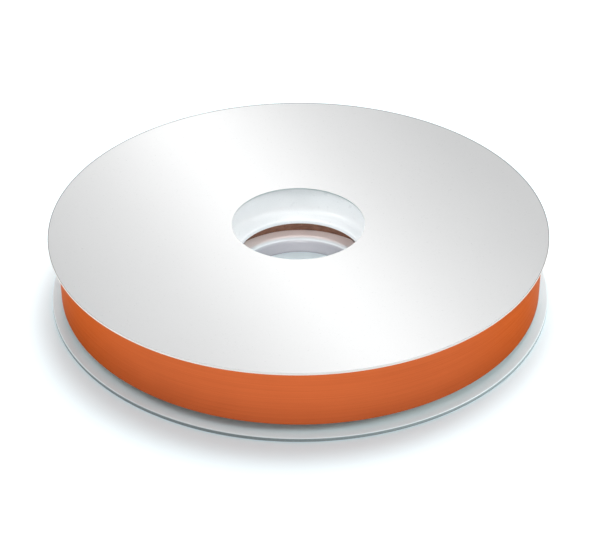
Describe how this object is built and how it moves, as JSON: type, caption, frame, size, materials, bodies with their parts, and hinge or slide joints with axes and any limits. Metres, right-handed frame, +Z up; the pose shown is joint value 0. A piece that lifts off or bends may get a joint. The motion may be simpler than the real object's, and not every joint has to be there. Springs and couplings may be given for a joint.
{
  "type": "copper foil tape roll",
  "caption": "Adhesive copper foil tape wound on a paper core between two white flanges, with a round spindle hole and a tape end that peels open.",
  "frame": {"origin": "middle of the lower flange's underside, on the roll's axis", "axes": "+Z up along the roll's axis, from the lower flange to the labelled face; -Y is the side that faces the viewer; the tape's free end is on the +Y side"},
  "size_m": [0.105, 0.105, 0.0161],
  "materials": {
    "face_label": "high gloss coated white paper",
    "upper_flange": "glossy, slightly see-through sheet with a green-blue cut edge",
    "upper_glue_ring": "dried clear-yellow glue",
    "hub_bushing": "satin moulded white",
    "paper_core": "dark brown kraft board",
    "lower_glue_ring": "dried clear-yellow glue",
    "lower_flange": "satin white with a cool grey cast",
    "tape_pack": "satin rolled copper foil, orange-brown",
    "tape_end_foil": "satin rolled copper foil, orange-brown",
    "tape_end_adhesive": "clear pressure-sensitive acrylic",
    "tape_end_liner": "smooth off-white release paper"
  },
  "bodies": {
    "roll": {"lower_flange": "lower_flange", "lower_glue_ring": "lower_glue_ring", "paper_core": "paper_core", "hub_bushing": "hub_bushing", "upper_glue_ring": "upper_glue_ring", "upper_flange": "upper_flange", "face_label": "face_label", "tape_pack": "tape_pack"},
    "tape_end": {"tape_end_foil": "tape_end_foil", "tape_end_adhesive": "tape_end_adhesive"},
    "liner_end": {"tape_end_liner": "tape_end_liner"}
  },
  "joints": [
    {"name": "tape_end_peel", "type": "hinge", "parent": "roll", "child": "tape_end", "pos_m": [0.01309, 0.04886, 0.00905], "axis": [0, 0, -1], "range_deg": [0, 75]},
    {"name": "liner_end_peel", "type": "hinge", "parent": "roll", "child": "liner_end", "pos_m": [0.01309, 0.04886, 0.00905], "axis": [0, 0, -1], "range_deg": [0, 37.5]}
  ],
  "couplings": [
    {"joint": "liner_end_peel", "follows": "tape_end_peel", "ratio": 0.5}
  ]
}
